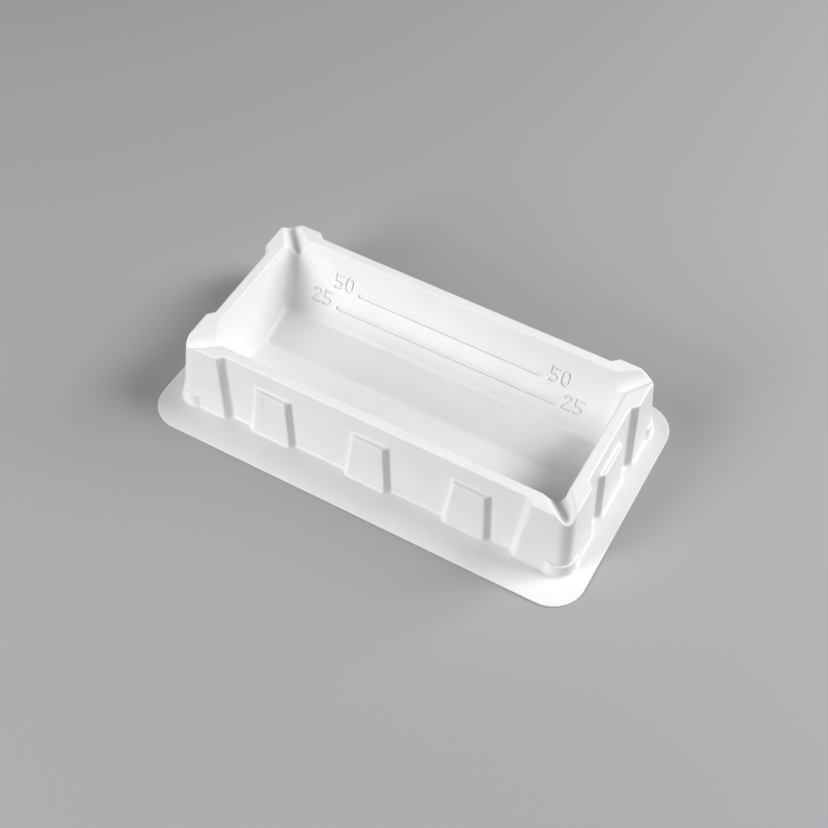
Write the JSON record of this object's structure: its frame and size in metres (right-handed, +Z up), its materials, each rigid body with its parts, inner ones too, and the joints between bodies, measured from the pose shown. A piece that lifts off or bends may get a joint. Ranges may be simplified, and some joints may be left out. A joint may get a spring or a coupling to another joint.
{
  "type": "reagent reservoir",
  "caption": "Shallow V-bottomed laboratory trough formed from one thin white plastic sheet, with a spout at each corner, padded walls, level marks and a flat flange to stand on.",
  "frame": {"origin": "centre of the flange's outline on the surface it stands on", "axes": "+X along the trough, to the right when its level marks are read, +Y towards the wall with the marks, +Z up"},
  "size_m": [0.143, 0.08, 0.0255],
  "materials": {
    "white_plastic": "satin white formed sheet, smooth, slightly soft in its highlights"
  },
  "bodies": {
    "root": {"reservoir_tray": "white_plastic"}
  },
  "joints": []
}
